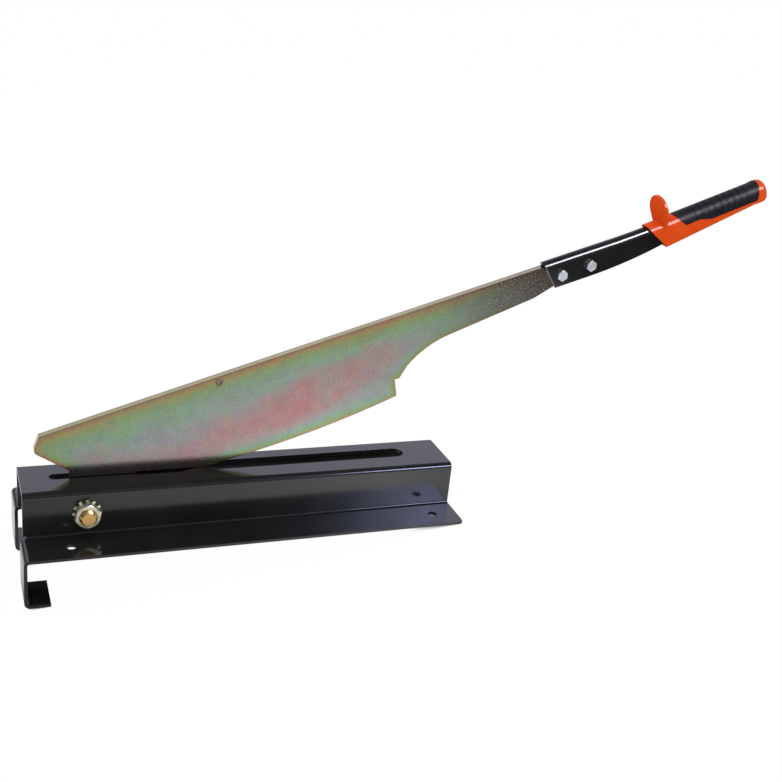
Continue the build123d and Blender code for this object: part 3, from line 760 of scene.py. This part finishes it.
class Lamp(NamedTuple):
    """A softbox or board, in metres, with the setting that holds its watts and the pieces it is kept to."""

    name: str
    power: str
    tint: str
    size: tuple
    place: Vector
    aim: Vector
    spread: float = pi
    pieces: tuple = ()


HANDLE_BOLTS = ("handle_bolt_inner_turned", "handle_bolt_outer_turned")
# All but the ceiling show in the gloss only. The window's softbox has a grid, which keeps it to the open end
# of the base
LAMPS = (
    Lamp("window_softbox", "window_power", tint="C9D0FF", size=(0.42, 0.5), spread=radians(16),
         place=Vector((1.08, -1.82, 1.14)), aim=Vector((0.2, -0.03, 0.03)), pieces=("base_folded_steel",)),
    Lamp("strip_softbox", "strip_power", tint="F6F6FF", size=(0.72, 0.8),
         place=Vector((0.97, -1.5, 1.65)), aim=Vector((0.97, 0, 0.15)),
         pieces=("grip_body", "handle_pressed_channel", "grip_pad_moulded", *HANDLE_BOLTS,
                 "pivot_bolt_turned", "pivot_nut_plated", "pivot_lock_washer_twisted")),
    Lamp("bolt_reflector", "reflector_power", tint="FFFAF8", size=(0.4, 0.4),
         place=Vector((0.66, -0.58, 0.09)), aim=Vector((0.66, -0.58, 1.0)), pieces=HANDLE_BOLTS),
    Lamp("ceiling_softbox", "ceiling_power", tint="FFFFFF", size=(3.0, 2.4),
         place=Vector((0.1, -0.2, 1.9)), aim=Vector((0.3, 0, 0.1))),
)
# Points this close to the lowest or furthest one are level with it
FOOT_BAND = 0.1 * MM
END_BAND = 1 * MM
# Sheets, in metres from the tips of the feet. The card lies just over the paper
FLOOR_SIZE, FLOOR_PLACE = (30, 30), (0, 0, 0)
CARD_SIZE, CARD_PLACE = (1.6, 2.2), (1.6, -0.9, 1 * MM)
# What the gloss sees of the floor: a pool of light by the open end and shade by the pivot end. Centre and
# reach of each, in metres, and its rise
FLOOR_SPOTS = (((0.16, -0.1, 0), 0.26, 0.9), ((-0.25, -0.1, 0), 0.22, -1.0))
# How bright the gloss sees the room, from level with the floor to straight up
ROOM_STOPS = [(0.0, 0.05), (0.2, 0.2), (0.4, 1.0), (0.56, 1.0), (0.75, 0.5), (1.0, 0.3)]


class SLATE_OT_stage(bpy.types.Operator):
    """Sets the floor under the cutter as it stands, the lamps and the camera"""

    bl_idname = "slate.stage"
    bl_label = "Stage"

    def execute(self, context):
        scene = context.scene
        low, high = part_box("base_channel")
        # The base leans on the tips of its hook feet and on the far end of its flanges
        base = np.array([v.co for v in frame["nodes"]["base_channel"].data.vertices])
        feet = base[base[:, 2] < low.z + FOOT_BAND]
        toe = Vector((feet[:, 0].max(), 0, low.z))
        heel = Vector((high.x, 0, base[base[:, 0] > high.x - END_BAND][:, 2].min()))
        lean = atan2(heel.z - toe.z, heel.x - toe.x)

        # The paper's glow is kept off the grip
        floor = self.lay_sheet("floor", self.floor_paper(), FLOOR_SIZE, FLOOR_PLACE, toe, lean)
        self.flag(floor, "EXCLUDE", frame["nodes"]["grip_body"])
        # The card darkens what the gloss mirrors beyond the paper, and takes no light from the cutter
        card = self.lay_sheet("dark_card", self.black_card(), CARD_SIZE, CARD_PLACE, toe, lean)
        card.visible_camera = False
        card.visible_diffuse = False
        card.visible_shadow = False
        card.visible_transmission = False
        scene.world = self.white_room()

        for lamp in LAMPS:
            light = bpy.data.lights.new(lamp.name, "AREA")
            light.shape = "RECTANGLE"
            light.size, light.size_y = lamp.size
            light.energy = getattr(studio(), lamp.power)
            light.spread = lamp.spread
            light.color = linear(lamp.tint)[:3]
            holder = bpy.data.objects.new(lamp.name, light)
            holder.location = lamp.place
            holder.rotation_euler = (lamp.aim - lamp.place).to_track_quat("-Z", "Y").to_euler()
            scene.collection.objects.link(holder)
            holder.visible_camera = False
            if lamp.pieces:
                holder.visible_diffuse = False
                self.flag(holder, "INCLUDE", *(
                    frame["nodes"].get(piece) or bpy.data.objects[piece] for piece in lamp.pieces))
            else:
                holder.visible_glossy = False

        camera = bpy.data.cameras.new("camera")
        camera.sensor_width = studio().camera_sensor
        camera.lens = studio().camera_lens
        holder = bpy.data.objects.new("camera", camera)
        turn = (
            Matrix.Rotation(studio().camera_azimuth, 4, "Z")
            @ Matrix.Rotation(pi / 2 - studio().camera_elevation, 4, "X")
            @ Matrix.Rotation(studio().camera_roll, 4, "Z"))
        holder.matrix_world = Matrix.Translation(studio().camera_place) @ turn
        scene.collection.objects.link(holder)
        scene.camera = holder
        scene.view_settings.view_transform = "Standard"
        return {"FINISHED"}

    def lay_sheet(self, name, material, size, place, toe, lean):
        """A flat sheet on the ground, which slopes by lean from the toe."""
        bm = bmesh.new()
        # A metre square, then scaled to its size
        bmesh.ops.create_grid(bm, x_segments=1, y_segments=1, size=0.5)
        bmesh.ops.scale(bm, vec=(*size, 1), verts=bm.verts)
        bmesh.ops.translate(bm, verts=bm.verts, vec=place)
        bmesh.ops.rotate(bm, verts=bm.verts, cent=(0, 0, 0), matrix=Matrix.Rotation(-lean, 3, "Y"))
        bmesh.ops.translate(bm, verts=bm.verts, vec=toe)
        mesh = bpy.data.meshes.new(name)
        bm.to_mesh(mesh)
        bm.free()
        mesh.materials.append(material)
        sheet = bpy.data.objects.new(name, mesh)
        bpy.context.scene.collection.objects.link(sheet)
        return sheet

    def flag(self, light, state, *pieces):
        """Keeps a light to some pieces or off them, as flags on stands would."""
        flagged = bpy.data.collections.new("flagged_" + light.name)
        light.light_linking.receiver_collection = flagged
        for piece in pieces:
            flagged.objects.link(piece)
        for entry in flagged.collection_objects:
            entry.light_linking.link_state = state

    def floor_paper(self):
        """White background paper: nearly white to camera and gloss alike, darker where the cutter stands."""
        material = bpy.data.materials.new("white_background_paper")
        material.use_nodes = True
        tree = material.node_tree
        tree.nodes.clear()
        white = linear(colours().floor)
        sheet = add_node(tree, "ShaderNodeBsdfDiffuse", {"Color": white})
        path = add_node(tree, "ShaderNodeLightPath")
        contact = add_node(tree, "ShaderNodeAmbientOcclusion", {"Distance": 60 * MM}, samples=8).outputs["AO"]
        # To the camera: white, with the shade where the cutter touches it
        touch = add_node(tree, "ShaderNodeAmbientOcclusion", {"Distance": 9 * MM}, samples=8).outputs["AO"]
        clear = add_node(tree, "ShaderNodeMapRange", {
            "Value": touch, "From Min": 0.15, "From Max": 0.35, "To Max": 0.985})
        share = add_node(tree, "ShaderNodeMath", {
            0: path.outputs["Is Camera Ray"], 1: clear.outputs["Result"]}, operation="MULTIPLY")
        glow = add_node(tree, "ShaderNodeEmission", {"Color": white, "Strength": 1.0})
        mixed = add_node(tree, "ShaderNodeMixShader", {
            0: share.outputs["Value"], 1: sheet.outputs["BSDF"], 2: glow.outputs["Emission"]})
        # In the gloss: the two spots, and dark under the base
        place = add_node(tree, "ShaderNodeTexCoord").outputs["Object"]
        level = 1.0
        for centre, reach, rise in FLOOR_SPOTS:
            centred = add_node(tree, "ShaderNodeMapping", {
                "Vector": place, "Location": centre, "Scale": (reach, reach, reach)}, vector_type="TEXTURE")
            spot = add_node(tree, "ShaderNodeTexGradient", {
                "Vector": centred.outputs["Vector"]}, gradient_type="QUADRATIC_SPHERE")
            level = add_node(tree, "ShaderNodeMath", {
                0: spot.outputs["Fac"], 1: rise, 2: level}, operation="MULTIPLY_ADD").outputs["Value"]
        level = add_node(tree, "ShaderNodeMath", {0: level, 1: contact}, operation="MULTIPLY")
        pool = add_node(tree, "ShaderNodeEmission", {"Color": white, "Strength": level.outputs["Value"]})
        mixed = add_node(tree, "ShaderNodeMixShader", {
            0: path.outputs["Is Glossy Ray"], 1: mixed.outputs["Shader"], 2: pool.outputs["Emission"]})
        add_node(tree, "ShaderNodeOutputMaterial", {"Surface": mixed.outputs["Shader"]})
        return material

    def black_card(self):
        """Black flocked card, seen only in the gloss, where it paints dark reflections: takes nearly all
        light, with an uneven nap.
        """
        material, tree, shader = new_material("black_flocked_card", **{"Roughness": 0.9})
        place = add_node(tree, "ShaderNodeTexCoord").outputs["Object"]
        nap = add_node(tree, "ShaderNodeTexNoise", {"Vector": place, "Scale": 1 / (60 * MM)})
        colour = add_node(tree, "ShaderNodeValToRGB", {"Fac": nap.outputs["Fac"]},
                          stops=[(NOISE_LOW, colours().card), (NOISE_HIGH, colours().card_nap)])
        tree.links.new(colour.outputs["Color"], shader.inputs["Base Color"])
        return material

    def white_room(self):
        """White room: full white to the camera and even as light. In gloss only its far wall is bright."""
        world = bpy.data.worlds.new("white_room")
        world.use_nodes = True
        # Not sampled as a lamp, so the gloss always sees the far wall
        world.cycles.sampling_method = "NONE"
        tree = world.node_tree
        tree.nodes.clear()
        white = linear(colours().room)
        path = add_node(tree, "ShaderNodeLightPath")
        light = add_node(tree, "ShaderNodeBackground", {"Color": white, "Strength": studio().room_level})
        heading = add_node(tree, "ShaderNodeSeparateXYZ", {
            "Vector": add_node(tree, "ShaderNodeTexCoord").outputs["Generated"]}).outputs
        height = add_node(tree, "ShaderNodeValToRGB", {"Fac": heading["Z"]}, stops=ROOM_STOPS)
        depth = add_node(tree, "ShaderNodeMapRange", {
            "Value": heading["Y"], "From Min": -0.2, "From Max": 0.6, "To Min": 0.5, "To Max": 1.2})
        level = add_node(tree, "ShaderNodeMath", {
            0: height.outputs["Color"], 1: depth.outputs["Result"]}, operation="MULTIPLY")
        mirrored = add_node(tree, "ShaderNodeBackground", {
            "Color": linear(colours().room_cast), "Strength": level.outputs["Value"]})
        seen = add_node(tree, "ShaderNodeBackground", {"Color": white, "Strength": 1.0})
        glossy = add_node(tree, "ShaderNodeMixShader", {
            0: path.outputs["Is Glossy Ray"], 1: light.outputs["Background"],
            2: mirrored.outputs["Background"]})
        camera = add_node(tree, "ShaderNodeMixShader", {
            0: path.outputs["Is Camera Ray"], 1: glossy.outputs["Shader"], 2: seen.outputs["Background"]})
        add_node(tree, "ShaderNodeOutputWorld", {"Surface": camera.outputs["Shader"]})
        return world


OPERATORS = (
    SLATE_OT_base, SLATE_OT_blade, SLATE_OT_handle_channel, SLATE_OT_pivot, SLATE_OT_handle_bolts,
    SLATE_OT_grip, SLATE_OT_stage,
)


class SLATE_PT_cutter(bpy.types.Panel):
    """Lists the pieces and their settings"""

    bl_idname = "SLATE_PT_cutter"
    bl_label = "Slate Cutter"
    bl_space_type = "VIEW_3D"
    bl_region_type = "UI"
    bl_category = "Slate Cutter"

    def draw(self, context):
        for operator in OPERATORS:
            self.layout.operator(operator.bl_idname)
        for group in (sizes(), colours(), studio()):
            box = self.layout.box()
            for name in group.bl_rna.properties.keys():
                if name not in {"rna_type", "name"}:
                    box.prop(group, name)


GROUPS = {
    "slate_cutter_sizes": SlateCutterSizes,
    "slate_cutter_colours": SlateCutterColours,
    "slate_cutter_studio": SlateCutterStudio,
}


def register():
    for cls in (*GROUPS.values(), *OPERATORS, SLATE_PT_cutter):
        bpy.utils.register_class(cls)
    for name, group in GROUPS.items():
        setattr(bpy.types.Scene, name, PointerProperty(type=group))


def unregister():
    for name in GROUPS:
        delattr(bpy.types.Scene, name)
    for cls in reversed((*GROUPS.values(), *OPERATORS, SLATE_PT_cutter)):
        bpy.utils.unregister_class(cls)


def main():
    register()
    bpy.ops.slate.base()
    bpy.ops.slate.blade()
    bpy.ops.slate.handle_channel()
    bpy.ops.slate.pivot()
    bpy.ops.slate.handle_bolts()
    bpy.ops.slate.grip()
    bpy.ops.slate.stage()


if __name__ == "__main__":
    main()
